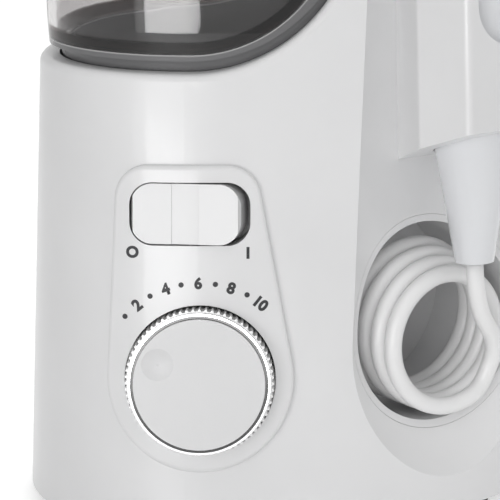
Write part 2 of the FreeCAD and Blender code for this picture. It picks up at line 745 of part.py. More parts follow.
def make_needle():
    return cylinder("regulator_needle", "needle_radius", "needle_length",
                    moved(PANEL, 0, 0, -regulator_back() + size("tube_radius + needle_travel")))


# ---- rocker ----

def make_rocker():
    """Rocker with end walls that are arcs about its pin; it rests with the O end pressed."""
    half = size("rocker_half")
    tall = size("rocker_tall")
    pivot = size("rocker_pivot")
    button = pill(half - size("rocker_gap") - 0.55, tall, size("rocker_corner"), -size("rocker_thick"), 0)
    drum = Part.makeCylinder(size("rocker_arc"), FAR, Vector(0, -FAR / 2, -pivot), Vector(0, 1, 0))
    dip = Part.makeCylinder(3 * half, FAR, Vector(0, -FAR / 2, 3 * half - 0.5), Vector(0, 1, 0))
    button = button.common(drum).cut(dip.common(Part.makeBox(7, FAR, 4, Vector(-3.5, -FAR / 2, -2))))
    button = button.cut(Part.makeCylinder(size("pin_radius"), FAR, Vector(0, -FAR / 2, -pivot), Vector(0, 1, 0)))
    return formed("rocker_button", largest(button), rocker_rest())


def rocker_rest():
    """The rocker's frame at rest, tilted about the pin behind its face."""
    pivot = size("rocker_pivot")
    tilt = Rotation(Vector(0, 1, 0), -size("rocker_tilt"))
    return moved(moved(ROCKER, 0, 0, -pivot, tilt), 0, 0, pivot)


def make_rocker_pin():
    length = size("switch_tall") * 2
    return cylinder("rocker_pin", "pin_radius", "switch_tall * 2",
                    moved(ROCKER, 0, length / 2, -size("rocker_pivot"), FRONTWARDS))


def make_switch_body():
    """Switch with two ears that carry the rocker's pin."""
    half = size("switch_half")
    tall = size("switch_tall")
    front = size("switch_front")
    back = size("switch_back")
    body = Part.makeBox(2 * half, 2 * tall, back - front, Vector(-half, -tall, -back))
    ears = Part.makeBox(2 * size("ear_half"), 2 * tall, back - size("ear_front"),
                        Vector(-size("ear_half"), -tall, -back))
    body = body.fuse(ears).removeSplitter()
    room = pill(size("rocker_half") + size("rocker_gap"), size("rocker_tall") + size("rocker_gap"),
                size("rocker_corner"), -size("rocker_thick") - 4, 10)
    pin = Part.makeCylinder(size("pin_radius + shaft_gap"), FAR, Vector(0, -FAR / 2, -size("rocker_pivot")),
                            Vector(0, 1, 0))
    body = placed(body.cut(room).cut(pin), ROCKER)
    inside = housing_block(size("shell_wall") + 0.05, size("foot_height"), size("lip_height"))
    return formed("switch_body", largest(body.common(inside)))


def make_circuit_board():
    return block("circuit_board", "board_half * 2", "board_tall * 2", "board_thick",
                 moved(ROCKER, 0, 0, -size("switch_back + board_thick")))


# ---- tank ----

def tank_edge(shrink):
    """Room above the rim that the tank keeps to: open below, close to the column at the right."""
    return sweep(-size("tank_gap") - shrink, size("tank_lift - tank_gap"))


def tank_solid(shrink, top):
    """Upright foot and flared upper body of the tank, drawn in by a wall."""
    inset = size("lip_width + tank_gap") + shrink
    foot_top = size("lip_height + sweep_radius") - shrink
    foot = upright_block(inset, size("recess_end - tank_gap") - shrink)
    foot = foot.common(sweep(size("recess_depth") - size("tank_gap") - shrink)).cut(bay(inset))
    foot = foot.common(Part.makeBox(2 * FAR, 2 * FAR, FAR, Vector(-FAR, -FAR, foot_top - FAR)))
    neck = size("lip_height + tank_lift")
    shoulder = neck + size("tank_neck")
    slope_start = neck - size("tank_neck")
    lower = housing_block(2 * size("tank_neck_inset") + shrink, slope_start, shoulder,
                          size("tank_neck_inset") + shrink)
    share = (top - shoulder) / (size("tank_top") - shoulder)
    flare = size("tank_neck_inset") + shrink - share * size("tank_flare + tank_neck_inset")
    upper = housing_block(size("tank_neck_inset") + shrink, shoulder, top, flare)
    body = lower.fuse(upper).removeSplitter().common(tank_edge(shrink))
    return foot, body


def valve_bore(radius):
    return Part.makeCylinder(radius, 40, Vector(size("valve_across"), size("valve_back"),
                                                size("lip_height - recess_depth") - 20))


def make_tank():
    """Smoked tank: foot in the recess, flared body above the rim, open at the top."""
    wall = size("tank_wall")
    foot, body = tank_solid(0, size("tank_top"))
    outside = body.fuse(foot).removeSplitter()
    foot_inside, body_inside = tank_solid(wall, size("tank_top") + 1)
    tank = outside.cut(body_inside).cut(foot_inside)
    tank = tank.cut(valve_bore(size("valve_hole")))
    return formed("reservoir_tank", largest(tank))


def tank_floor():
    return size("lip_height - recess_depth + tank_gap + tank_wall")


def make_valve():
    """Poppet that the housing opens: a head on the tank's floor and a stem through it."""
    stem_low = "seal_thick + tank_wall"
    place = at(size("valve_across"), size("valve_back"), tank_floor() - size(stem_low) + size("seal_thick"))
    return turned("reservoir_valve", [("0", "0"), ("valve_stem", "0"), ("valve_stem", stem_low),
                                      ("valve_radius", stem_low), ("valve_radius", stem_low + " + valve_thick"),
                                      ("0", stem_low + " + valve_thick")], place)


def make_seal():
    return tube("valve_seal", "valve_radius", "valve_stem + fit_gap * 2", "seal_thick",
                at(size("valve_across"), size("valve_back"), tank_floor()))


def grommet_low():
    return size("lip_height - recess_depth - shell_wall - grommet_length")


def make_grommet():
    """Rubber grommet in the recess floor, with the nipple for the suction tube."""
    nipple = "shell_wall + grommet_stand + grommet_length"
    place = at(size("valve_across"), size("valve_back"), grommet_low())
    neck = "grommet_radius - 2"
    return turned("inlet_grommet", [("grommet_bore", "0"), ("grommet_bore + grommet_wall", "0"),
                                    ("grommet_bore + grommet_wall", "grommet_length"), (neck, "grommet_length"),
                                    (neck, nipple),
                                    ("grommet_bore", nipple)], place)


def lid_plan(inset, height):
    """Plan of the tank at its top, lifted to a height."""
    wire = plan_wire(size("tank_top"), -size("tank_flare") + inset)
    wire.translate(Vector(0, 0, height - size("tank_top")))
    return wire


def lid_block(inset, low, high, high_inset):
    loft = Part.makeLoft([lid_plan(inset, low), lid_plan(high_inset, high)], True, True)
    return loft.common(tank_edge(inset))


def make_lid():
    """Lid with a skirt inside the tank and the pocket of the tip store."""
    low = size("tank_top")
    high = low + size("lid_height")
    wall = size("lid_wall")
    skirt = size("tank_wall + skirt_gap")
    foot = low - size("skirt_depth")
    lid = lid_block(0, low, high, size("lid_taper")).fuse(lid_block(skirt, foot, low, skirt))
    rounded = [edge for edge in lid.Edges if edge.BoundBox.ZMin > high - 0.01]
    lid = lid.makeFillet(size("lid_round"), rounded)
    lid = lid.cut(lid_block(skirt + wall, foot - 1, low, skirt + wall))
    length = size("store_length")
    width = size("store_width")
    deep = size("store_depth") + size("cover_thick")
    pocket = Part.makeBox(length, width, deep + 1, Vector(store_x(), store_y(), high - deep))
    return formed("reservoir_lid", largest(lid.cut(pocket)))


def store_x():
    return size("store_across - store_length / 2")


def store_y():
    return size("store_back - store_width / 2")


def make_tip_cover():
    """Flap over the tip store, with its hinge barrel at the back."""
    high = size("tank_top + lid_height")
    thick = size("cover_thick")
    gap = size("seat_gap")
    barrel = size("hinge_radius + hinge_wall")
    flap = Part.makeBox(size("store_length") - 2 * gap, size("store_width") - 2 * gap - 2 * barrel, thick,
                        Vector(store_x() + gap, store_y() + gap, high - thick))
    roll = Part.makeCylinder(barrel, size("store_length") - 2 * gap,
                             Vector(store_x() + gap, hinge_y(), hinge_z()), Vector(1, 0, 0))
    neck = Part.makeBox(size("store_length") - 2 * gap, 2 * barrel, thick * 0.6,
                        Vector(store_x() + gap, hinge_y() - 2 * barrel, high - thick))
    bore = Part.makeCylinder(size("hinge_radius + shaft_gap"), FAR,
                             Vector(-FAR / 2, hinge_y(), hinge_z()), Vector(1, 0, 0))
    return formed("tip_cover", flap.fuse(neck).fuse(roll).removeSplitter().cut(bore))


def hinge_y():
    return store_y() + size("store_width") - size("seat_gap") - size("hinge_radius + hinge_wall")


def hinge_z():
    return size("tank_top + lid_height") - size("hinge_radius + hinge_wall")


def make_tip_cover_pin():
    return cylinder("tip_cover_pin", "hinge_radius", "store_length - seat_gap / 2",
                    at(store_x() + size("seat_gap") / 4, hinge_y(), hinge_z(), SIDEWAYS))


# ---- pump drive ----

def drive_point(x, z):
    """Point in the plane of the pump drive."""
    return Vector(x, size("drive_back"), z)


def gear_height():
    return size("motor_height") + size("gear_module * (pinion_teeth + gear_teeth) / 2")


def make_motor():
    """Can with a bore that the rotor turns in."""
    x = size("drive_across") - size("frame_thick + motor_length")
    return tube("motor_body", "motor_radius", "rotor_radius + shaft_gap", "motor_length",
                Placement(drive_point(x, size("motor_height")), SIDEWAYS))


def make_rotor():
    x = size("drive_across") - size("frame_thick + motor_length") + 1
    return cylinder("motor_rotor", "rotor_radius", "motor_length + frame_thick + gear_face",
                    Placement(drive_point(x, size("motor_height")), SIDEWAYS))


def gear_face_wire(teeth, phase):
    """Outline of a spur gear with involute flanks and backlash."""
    module = size("gear_module")
    pitch = module * teeth / 2
    base = pitch * math.cos(math.radians(20))
    tip = pitch + 0.9 * module
    root = pitch - 1.2 * module
    half_pitch = math.pi / (2 * teeth) - size("gear_backlash") / (2 * pitch)
    involute = math.tan(math.radians(20)) - math.radians(20)
    flank = []
    for step in range(6):
        radius = max(base, root) + (tip - max(base, root)) * step / 5
        roll = math.acos(min(1.0, base / radius))
        flank.append((radius, half_pitch + involute - (math.tan(roll) - roll)))
    if root < base:
        flank.insert(0, (root, flank[0][1]))
    points = []
    for tooth in range(teeth):
        middle = phase + 2 * math.pi * tooth / teeth
        for radius, half in flank:
            points.append(Vector(radius * math.cos(middle - half), radius * math.sin(middle - half), 0))
        for radius, half in reversed(flank):
            points.append(Vector(radius * math.cos(middle + half), radius * math.sin(middle + half), 0))
    return Part.makePolygon(points + points[:1])


def make_gear(label, teeth, bore, height, phase):
    """Spur gear on a shaft along X."""
    count = int(size(teeth))
    wheel = Part.Face(gear_face_wire(count, phase)).extrude(Vector(0, 0, size("gear_face")))
    wheel = wheel.cut(Part.makeCylinder(size(bore), FAR, Vector(0, 0, -1)))
    return formed(label, wheel, Placement(drive_point(size("drive_across") + 1, height), SIDEWAYS))


def make_axle():
    """Fixed axle that carries the drive gear."""
    x = size("drive_across") - size("frame_thick")
    return cylinder("gear_axle", "axle_radius", "frame_thick + 1 + gear_face",
                    Placement(drive_point(x, gear_height()), SIDEWAYS))


def make_crank_pin():
    x = size("drive_across") + 1 + size("gear_face")
    return cylinder("crank_pin", "crank_radius", "crank_length",
                    Placement(drive_point(x, gear_height() + size("crank_throw")), SIDEWAYS))


def rod_x():
    return size("drive_across") + 1 + size("gear_face") + 1


def eye_radius():
    return 2 * size("crank_throw") + size("crank_radius") + size("rod_gap")


def cylinder_top():
    """The pump hangs under the floor of the tank's recess."""
    return size("lip_height - recess_depth - shell_wall - head_gap - head_thick")


def piston_low():
    return cylinder_top() - size("cylinder_length - cylinder_lead")


def make_rod():
    """Connecting rod: large eye with clearance round the crank, stem up to the piston."""
    radius = eye_radius()
    outer = radius + size("rod_wall")
    x = rod_x()
    thick = size("rod_thick")
    centre = drive_point(x, gear_height())
    eye = Part.makeCylinder(outer, thick, centre, Vector(1, 0, 0))
    stem = Part.makeBox(thick, 4, piston_low() - gear_height(), centre - Vector(0, 2, 0))
    rod = eye.fuse(stem).removeSplitter().cut(Part.makeCylinder(radius, FAR, centre - Vector(1, 0, 0), Vector(1, 0, 0)))
    return formed("connecting_rod", rod)


def piston_x():
    return rod_x() + size("rod_thick") / 2


def make_piston():
    return cylinder("pump_piston", "piston_radius", "piston_length",
                    at(piston_x(), size("drive_back"), piston_low()))


def make_pump_cylinder():
    return tube("pump_cylinder", "piston_radius + piston_gap + cylinder_wall", "piston_radius + piston_gap",
                "cylinder_length", at(piston_x(), size("drive_back"), cylinder_top() - size("cylinder_length")))


HEAD_RADIUS = "piston_radius + piston_gap + cylinder_wall + head_wall"


def make_pump_head():
    """Head with the suction spigot at the left and the delivery spigot at the front."""
    radius = size(HEAD_RADIUS)
    base = Vector(piston_x(), size("drive_back"), cylinder_top())
    thick = size("head_thick")
    middle = base + Vector(0, 0, thick / 2)
    head = Part.makeCylinder(radius, thick, base)
    chamber = Part.makeCylinder(size("piston_radius") / 2, thick * 0.8, base)
    reach = radius + size("spigot_length")
    ways = (Vector(-1, 0, 0), Vector(0, -1, 0))
    spigots = [Part.makeCylinder(size("spigot_radius"), reach, middle, way) for way in ways]
    bores = [Part.makeCylinder(size("barb_bore"), reach, middle + way, way) for way in ways]
    for spigot in spigots:
        head = head.fuse(spigot)
    head = head.removeSplitter().cut(chamber)
    for bore in bores:
        head = head.cut(bore)
    return formed("pump_head", head)


def make_frame():
    """Plate that carries the motor, the axle and, on its arm, the pump cylinder."""
    thick = size("frame_thick")
    half = size("frame_half")
    low = size("foot_height + plate_thick")
    back = size("drive_back")
    arm_low = cylinder_top() - size("cylinder_length") + size("arm_drop")
    top = arm_low + size("arm_thick")
    radius = size("piston_radius + piston_gap + cylinder_wall")
    rim = radius + size("arm_rim")
    across = size("drive_across")
    plate = Part.makeBox(thick, 2 * half, top - low, Vector(across - thick, back - half, low))
    arm = Part.makeBox(piston_x() + rim - across, 2 * rim, size("arm_thick"), Vector(across, back - rim, arm_low))
    shoe = Part.makeBox(size("shoe_length"), 2 * half, thick, Vector(across, back - half, low))
    frame = plate.fuse(arm).fuse(shoe).removeSplitter()
    frame = frame.cut(Part.makeCylinder(radius, FAR, Vector(piston_x(), back, arm_low - 1)))
    frame = frame.cut(Part.makeCylinder(size("rotor_radius + shaft_gap"), FAR,
                                        drive_point(-FAR / 2, size("motor_height")), Vector(1, 0, 0)))
    frame = frame.cut(Part.makeCylinder(size("axle_radius"), FAR,
                                        drive_point(-FAR / 2, gear_height()), Vector(1, 0, 0)))
    return formed("pump_frame", frame)


def routed_tube(label, points):
    """Flexible tube inside the housing: straight runs joined by arcs."""
    edges = []
    start = points[0]
    for before, corner, after in zip(points, points[1:], points[2:]):
        towards = (before - corner).normalize()
        onwards = (after - corner).normalize()
        half_turn = (math.pi - towards.getAngle(onwards)) / 2
        reach = 0.45 * min((before - corner).Length, (after - corner).Length)
        radius = reach / math.tan(half_turn)
        inward = (towards + onwards).normalize()
        edges.append(line(start, corner + towards * reach))
        edges.append(arc(corner + towards * reach, corner + inward * (radius / math.cos(half_turn) - radius),
                         corner + onwards * reach))
        start = corner + onwards * reach
    edges.append(line(start, points[-1]))
    path = Part.Wire(edges)
    heading = (points[1] - points[0]).normalize()
    shapes = []
    for radius in (size("tube_radius"), size("tube_bore")):
        section = Part.Wire([Part.Circle(points[0], heading, radius).toShape()])
        shapes.append(path.makePipeShell([section], True, False))
    return formed(label, shapes[0].cut(shapes[1]))


def make_suction_tube():
    """From the tank's grommet to the pump head."""
    run = size("tube_run")
    start = Vector(size("valve_across"), size("valve_back"), grommet_low() - size("fit_gap"))
    below = start - Vector(0, 0, run)
    end = Vector(piston_x() - size(HEAD_RADIUS + " + spigot_length"), size("drive_back"),
                 cylinder_top() + size("head_thick") / 2)
    before_end = end - Vector(run, 0, 0)
    between = Vector((below.x + before_end.x) / 2, before_end.y - run / 2, below.z)
    return routed_tube("suction_tube", [start, below, between, before_end, end])


def make_delivery_tube():
    """From the pump head down to the regulator."""
    run = size("tube_run")
    start = Vector(piston_x(), size("drive_back") - size(HEAD_RADIUS + " + spigot_length"),
                   cylinder_top() + size("head_thick") / 2)
    reach = size("regulator_radius + spigot_outlet")
    spigot = PANEL.multVec(Vector(0, reach, -regulator_back() + size("spigot_back")))
    above = PANEL.multVec(Vector(0, reach + 1.4 * run, -regulator_back() + size("spigot_back")))
    over = above + Vector(run / 4, run / 4, 1.6 * run)
    before = Vector((start.x + over.x) / 2, over.y - run / 2, start.z - run)
    return routed_tube("delivery_tube", [start, start - Vector(0, 1.2 * run, 0), before, over, above, spigot])


# ---- mains cord gland ----

def gland_frame():
    """Frame whose local Z leaves the rear wall."""
    height = size("gland_height")
    left, right, front, back = plan_limits(height, 0)
    return Placement(Vector(size("back_pole"), back, height), Rotation(Vector(1, 0, 0), -90))


def gland_bore(radius):
    return placed(Part.makeCylinder(radius, 60, Vector(0, 0, -30)), gland_frame())


def make_gland():
    """Flanged gland in the rear wall for the mains cord."""
    flange = "gland_radius + 1.5"
    inner = "gland_length - gland_flange"
    return turned("cord_gland", [("gland_bore", "-" + "(" + inner + ")"), ("gland_radius - 0.05", "-(" + inner + ")"),
                                 ("gland_radius - 0.05", "0.3"), (flange, "0.3"),
                                 (flange, "gland_flange"), ("gland_bore", "gland_flange")], gland_frame())


# ---- handle ----

RELEASE_HEIGHT = "handle_length - release_drop"
PAUSE_HEIGHT = "handle_length - release_drop - button_pitch"


def half_space(front):
    """Box that keeps the front or the rear half of the handle."""
    side = -FAR if front else 0
    return Part.makeBox(2 * FAR, FAR, 2 * FAR, Vector(-FAR, side, -FAR))


def handle_wall_form():
    """Hollow grip above the nose."""
    wall = size("handle_wall")
    low = size("nose_length")
    form = handle_form(0)
    form = form.cut(Part.makeBox(FAR, FAR, low + FAR, Vector(-FAR / 2, -FAR / 2, -FAR)))
    inner = handle_form(-wall)
    inner = inner.cut(Part.makeBox(FAR, FAR, FAR, Vector(-FAR / 2, -FAR / 2, size("handle_length") - wall)))
    form = form.cut(inner)
    return form.cut(Part.makeCylinder(size("collar_stem + fit_gap"), FAR, Vector(0, 0, low)))


def frontal_cylinder(radius, start, end, height):
    """Cylinder along the handle's local -Y between two distances from its axis."""
    return Part.makeCylinder(radius, end - start, Vector(0, -start, height), Vector(0, -1, 0))


def make_handle_shell():
    """Front half of the grip with the holes of its two buttons."""
    form = handle_wall_form().common(half_space(True))
    gap = size("fit_gap") * 2
    form = form.cut(frontal_cylinder(size("button_radius") + gap, 2, FAR, size(PAUSE_HEIGHT)))
    form = form.cut(frontal_cylinder(size("release_radius") + gap, 2, FAR, size(RELEASE_HEIGHT)))
    return formed("handle_shell", largest(form), HANDLE)


def make_handle_rear():
    return formed("handle_rear_shell", largest(handle_wall_form().common(half_space(False))), HANDLE)


def make_nose():
    """Tapered lower end with the hose socket and a collar inside the grip."""
    wall = "neck_radius - handle_wall - fit_gap"
    bore = "tube_radius"
    return turned("handle_nose", [(bore, "0"), ("nose_radius", "0"), ("neck_radius", "nose_length"),
                                  (wall, "nose_length"), (wall, "nose_length + 5"), (bore, "nose_length + 5")],
                  HANDLE)


def make_handle_tube():
    """Water tube inside the grip, from the nose to the collar."""
    return tube("handle_tube", "tube_radius", "tube_bore", "handle_length - nose_length",
                moved(HANDLE, 0, 0, size("nose_length - 8")))


def push_button(label, radius, height):
    """Button with a flange behind the grip's wall."""
    radius = size(radius)
    middle = size(height)
    flange_radius = radius + size("button_flange")
    inner = min(handle_radius(middle - flange_radius), handle_radius(middle + flange_radius)) - size("handle_wall")
    back = math.sqrt(inner ** 2 - flange_radius ** 2) - size("seat_gap")
    face = max(handle_radius(middle - radius), handle_radius(middle + radius)) + size("button_rise")
    flange_back = back - size("button_flange")
    button = frontal_cylinder(radius, flange_back, face, middle)
    button = button.fuse(frontal_cylinder(flange_radius, flange_back, back, middle)).removeSplitter()
    front_edges = [edge for edge in button.Edges if edge.CenterOfMass.y < -face + 0.01]
    button = button.makeFillet(0.5 * size("button_rise"), front_edges)
    return formed(label, button, HANDLE)


def make_collar():
    """Turning collar that carries the tip."""
    stem_low = "handle_length - 8"
    seat = "handle_length + seat_gap"
    return turned("tip_collar", [("tip_radius + fit_gap", stem_low), ("collar_stem", stem_low),
                                 ("collar_stem", seat), ("collar_radius", seat),
                                 ("collar_radius", "handle_length + collar_thick - 1"),
                                 ("collar_radius - 1", "handle_length + collar_thick"),
                                 ("tip_radius + fit_gap", "handle_length + collar_thick")], HANDLE)


def make_jet_tip():
    """Slim jet tip with a fine bore."""
    low = "handle_length - 6"
    return turned("jet_tip", [("tip_bore", low), ("tip_radius", low), ("tip_radius", "handle_length + 14"),
                              ("tip_radius - 0.8", "handle_length + 18"), ("tip_end_radius", "handle_length + tip_length"),
                              ("tip_bore", "handle_length + tip_length")], HANDLE)


def build():
    """Make every sub-part and return them by node name."""
    pieces = [
        make_base_shell(), make_base_plate(), make_base_screws(), make_rubber_feet(), make_hose_well(),
        make_hose_outlet(), make_hose_coil(), make_hose_lead(), make_cradle(), make_panel(),
        make_dial_socket(), make_knurled_ring(), make_dial_bezel(), make_dial_core(), make_dial_face(),
        make_dial_shaft(), make_regulator(), make_needle(), make_rocker(), make_rocker_pin(),
        make_switch_body(), make_circuit_board(), make_tank(), make_valve(), make_seal(), make_grommet(),
        make_lid(), make_tip_cover(), make_tip_cover_pin(), make_motor(), make_rotor(),
        make_gear("motor_pinion", "pinion_teeth", "rotor_radius", size("motor_height"), math.pi),
        make_gear("drive_gear", "gear_teeth", "axle_radius + shaft_gap", gear_height(),
                  math.pi / size("gear_teeth")),
        make_axle(), make_crank_pin(), make_rod(), make_piston(), make_pump_cylinder(), make_pump_head(),
        make_frame(), make_suction_tube(), make_delivery_tube(), make_gland(), make_handle_shell(),
        make_handle_rear(), make_nose(), make_handle_tube(),
        push_button("pause_button", "button_radius", PAUSE_HEIGHT),
        push_button("tip_release", "release_radius", RELEASE_HEIGHT),
        make_collar(), make_jet_tip(),
    ]
    return pieces


def export(pieces):
    """Check every object and write one STEP file per sub-part."""
    doc.recompute()
    for item in doc.Objects:
        if "Invalid" in item.State or "Error" in item.State:
            raise RuntimeError("%s failed: %s" % (item.Name, item.State))
    os.makedirs("parts", exist_ok=True)
    whole = FreeCAD.BoundBox()
    for piece in pieces:
        piece.Label = piece.Name
        shape = piece.Shape
        if shape.isNull() or not shape.isValid() or not shape.Solids:
            raise RuntimeError("%s has no valid solid" % piece.Name)
        whole.add(shape.BoundBox)
        shape.exportStep("parts/%s.step" % piece.Name)
        print(piece.Name, len(shape.Solids), round(shape.Volume, 1))
    print("box", [round(edge, 2) for edge in (whole.XMin, whole.XMax, whole.YMin, whole.YMax, whole.ZMin, whole.ZMax)])


export(build())
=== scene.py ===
"""Looks of the countertop water flosser: camera, hose, materials, printed scale and light. Metres."""
import bpy
import bmesh
import json
import math
from mathutils import Matrix, Vector


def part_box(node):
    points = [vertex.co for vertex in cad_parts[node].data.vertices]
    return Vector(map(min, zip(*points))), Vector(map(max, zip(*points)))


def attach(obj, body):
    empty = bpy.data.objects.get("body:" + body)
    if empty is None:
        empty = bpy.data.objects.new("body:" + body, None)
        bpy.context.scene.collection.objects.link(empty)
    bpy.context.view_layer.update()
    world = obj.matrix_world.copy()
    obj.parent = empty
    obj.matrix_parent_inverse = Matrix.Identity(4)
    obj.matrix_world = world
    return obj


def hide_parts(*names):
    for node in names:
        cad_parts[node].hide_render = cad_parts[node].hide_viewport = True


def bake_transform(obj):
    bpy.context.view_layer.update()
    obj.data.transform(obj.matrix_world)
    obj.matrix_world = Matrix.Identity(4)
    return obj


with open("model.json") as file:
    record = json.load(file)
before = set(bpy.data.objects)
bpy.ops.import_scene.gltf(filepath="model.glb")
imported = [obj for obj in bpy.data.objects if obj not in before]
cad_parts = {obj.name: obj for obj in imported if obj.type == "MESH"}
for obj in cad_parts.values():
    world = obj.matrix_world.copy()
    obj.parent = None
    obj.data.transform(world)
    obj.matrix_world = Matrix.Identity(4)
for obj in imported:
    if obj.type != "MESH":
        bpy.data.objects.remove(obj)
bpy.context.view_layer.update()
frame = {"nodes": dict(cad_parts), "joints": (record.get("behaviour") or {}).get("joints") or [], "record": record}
nodes = frame["nodes"]

# ---- frame of the bay and of the panel, as the model has them ----
MM = 0.001
BAY_TURN = math.radians(35)
BAY_OUT = Vector((math.sin(BAY_TURN), -math.cos(BAY_TURN), 0))
BAY_RIGHT = Vector((math.cos(BAY_TURN), math.sin(BAY_TURN), 0))
UP = Vector((0, 0, 1))
PANEL_LEAN = math.radians(7)
PANEL_OUT = Vector((0, -math.cos(PANEL_LEAN), math.sin(PANEL_LEAN)))
PANEL_UP = Vector((0, math.sin(PANEL_LEAN), math.cos(PANEL_LEAN)))


def middle(node):
    """Middle of a CAD node."""
    low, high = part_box(node)
    return (low + high) / 2


def joint_place(name):
    """Where a joint of the model lies."""
    joint = [item for item in frame["joints"] if item["name"] == name][0]
    return Vector(joint["pos_m"])


DIAL = joint_place("dial_turn")


# ---- camera ----

def make_camera():
    """Close view of the lower front, slightly from above."""
    data = bpy.data.cameras.new("camera")
    data.sensor_width = 36
    distance = 0.80
    data.lens = 36 * distance / 0.125
    camera = bpy.data.objects.new("camera", data)
    bpy.context.scene.collection.objects.link(camera)
    aim = Vector((-0.0115, -0.045, 0.075))
    rise = math.radians(14)
    turn = math.radians(1)
    away = Vector((math.cos(rise) * math.sin(turn), -math.cos(rise) * math.cos(turn), math.sin(rise)))
    camera.location = aim + away * distance
    camera.rotation_euler = (aim - camera.location).to_track_quat("-Z", "Y").to_euler()
    bpy.context.scene.camera = camera


make_camera()


# ---- hose ----

# The coil's middle lies this deep behind the bay's rim, below its centre and to its right.
HOSE_RADIUS = 2.3 * MM
COIL_DEPTH = 16 * MM
COIL_DROP = 5.12 * MM
COIL_ACROSS = 2.5 * MM
FIRST_TURN_DEPTH = 3.8 * MM
TURN_RADIUS = 17.2 * MM
TURN_GROWTH = 0.8 * MM
TURN_PITCH = 4.87 * MM
STEPS_PER_TURN = 16
FIRST_ANGLE = math.radians(-62)
WINDING = math.radians(1491.6)
OUTLET_STEPS = 4
BARB = (-11, -33, 33)
WELL_HEIGHT = 50
BAY_RIM = middle("hose_coil") + BAY_OUT * COIL_DEPTH + UP * COIL_DROP - BAY_RIGHT * COIL_ACROSS
HANDLE_LEAN = math.radians(3)
HANDLE_AXIS = UP * math.cos(HANDLE_LEAN) - BAY_OUT * math.sin(HANDLE_LEAN)
STRAIGHT_RUN = 12.2 * MM


def bay_point(right, out, height):
    """Point in millimetres to the right of the bay's middle, out from its rim, above the table."""
    return BAY_RIM + BAY_RIGHT * right * MM + BAY_OUT * out * MM + UP * (height - WELL_HEIGHT) * MM


def coil_points():
    """Turns of the coil, clockwise from the front; deeper turns are larger and rest on the same floor."""
    front = BAY_RIM - UP * COIL_DROP + BAY_RIGHT * COIL_ACROSS - BAY_OUT * FIRST_TURN_DEPTH
    steps = round(WINDING / (2 * math.pi) * STEPS_PER_TURN)
    points = []
    for step in range(steps + 1):
        wound = WINDING * step / steps
        turns = wound / (2 * math.pi)
        angle = FIRST_ANGLE - wound
        radius = TURN_RADIUS + TURN_GROWTH * turns
        ring = BAY_RIGHT * math.cos(angle) + UP * math.sin(angle)
        rise = UP * TURN_GROWTH * turns
        points.append(front + rise + ring * radius - BAY_OUT * TURN_PITCH * turns)
    return points


def outlet_points(last):
    """Bend from the last turn on to the outlet's barb, which points out of the well."""
    barb = bay_point(*BARB)
    ahead = barb - last
    reach = ahead - BAY_OUT * ahead.dot(BAY_OUT)
    bend = reach.length
    reach.normalize()
    points = []
    for step in range(1, OUTLET_STEPS + 1):
        turn = math.radians(90) * step / OUTLET_STEPS
        points.append(last + reach * bend * math.sin(turn) - BAY_OUT * bend * (1 - math.cos(turn)))
    return points


def hose_points():
    """Route of the hose: down from the handle, round the coil's turns and on to the outlet."""
    handle_end = joint_place("collar_spin")
    below = handle_end - HANDLE_AXIS * STRAIGHT_RUN
    lead = [handle_end, below, bay_point(17.2, -2.5, 43.5), bay_point(14.9, -4.8, 33)]
    coil = coil_points()
    return lead + coil + outlet_points(coil[-1])


def spline_curve(name, points):
    """Smooth curve whose control points are the given ones."""
    curve = bpy.data.curves.new(name, "CURVE")
    curve.dimensions = "3D"
    spline = curve.splines.new("NURBS")
    spline.points.add(len(points) - 1)
    for target, point in zip(spline.points, points):
        target.co = (point.x, point.y, point.z, 1)
    spline.order_u = 3
    spline.use_endpoint_u = True
    spline.resolution_u = 6
    return bpy.data.objects.new(name, curve)


def centreline(points):
    """Points read from the route's own spline."""
    holder = spline_curve("hose_route", points)
    bpy.context.scene.collection.objects.link(holder)
    bpy.context.view_layer.update()
    mesh = bpy.data.meshes.new_from_object(holder)
    line = [vertex.co.copy() for vertex in mesh.vertices]
    bpy.data.objects.remove(holder)
    bpy.data.meshes.remove(mesh)
    return line


def tube_mesh(name, line, radius, sides=20):
    """Tube round a line, with rings that do not twist."""
    mesh = bmesh.new()
    rings = []
    side = None
    for index, point in enumerate(line):
        ahead = line[min(index + 1, len(line) - 1)] - line[max(index - 1, 0)]
        ahead.normalize()
        if side is None:
            side = ahead.orthogonal().normalized()
        side = (side - ahead * side.dot(ahead)).normalized()
        other = ahead.cross(side)
        ring = []
        for number in range(sides):
            angle = 2 * math.pi * number / sides
            ring.append(mesh.verts.new(point + (side * math.cos(angle) + other * math.sin(angle)) * radius))
        rings.append(ring)
    for first, second in zip(rings, rings[1:]):
        for number in range(sides):
            following = (number + 1) % sides
            mesh.faces.new((first[number], first[following], second[following], second[number]))
    mesh.faces.new(list(reversed(rings[0])))
    mesh.faces.new(rings[-1])
    data = bpy.data.meshes.new(name)
    bmesh.ops.recalc_face_normals(mesh, faces=mesh.faces)
    mesh.to_mesh(data)
    mesh.free()
    for face in data.polygons:
        face.use_smooth = True
    piece = bpy.data.objects.new(name, data)
    bpy.context.scene.collection.objects.link(piece)
    return piece


def make_hose():
    """The hose as one tube, from the handle above down round the coil to the outlet in the well."""
    route = hose_points()
    line = centreline(route)
    hose = tube_mesh("coiled_hose", line, HOSE_RADIUS)
    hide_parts("hose_coil", "hose_lead")
    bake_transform(hose)
    return hose


hose = make_hose()


# ---- materials ----

def new_material(name):
    """Material with its node tree and its shader."""
    material = bpy.data.materials.new(name)
    material.use_nodes = True
    tree = material.node_tree
    shader = tree.nodes["Principled BSDF"]
    return material, tree, shader


def link_noise(tree, scale, detail):
    """Noise on object coordinates."""
    place = tree.nodes.new("ShaderNodeTexCoord")
    noise = tree.nodes.new("ShaderNodeTexNoise")
    noise.inputs["Scale"].default_value = scale
    noise.inputs["Detail"].default_value = detail
    tree.links.new(place.outputs["Object"], noise.inputs["Vector"])
    return noise


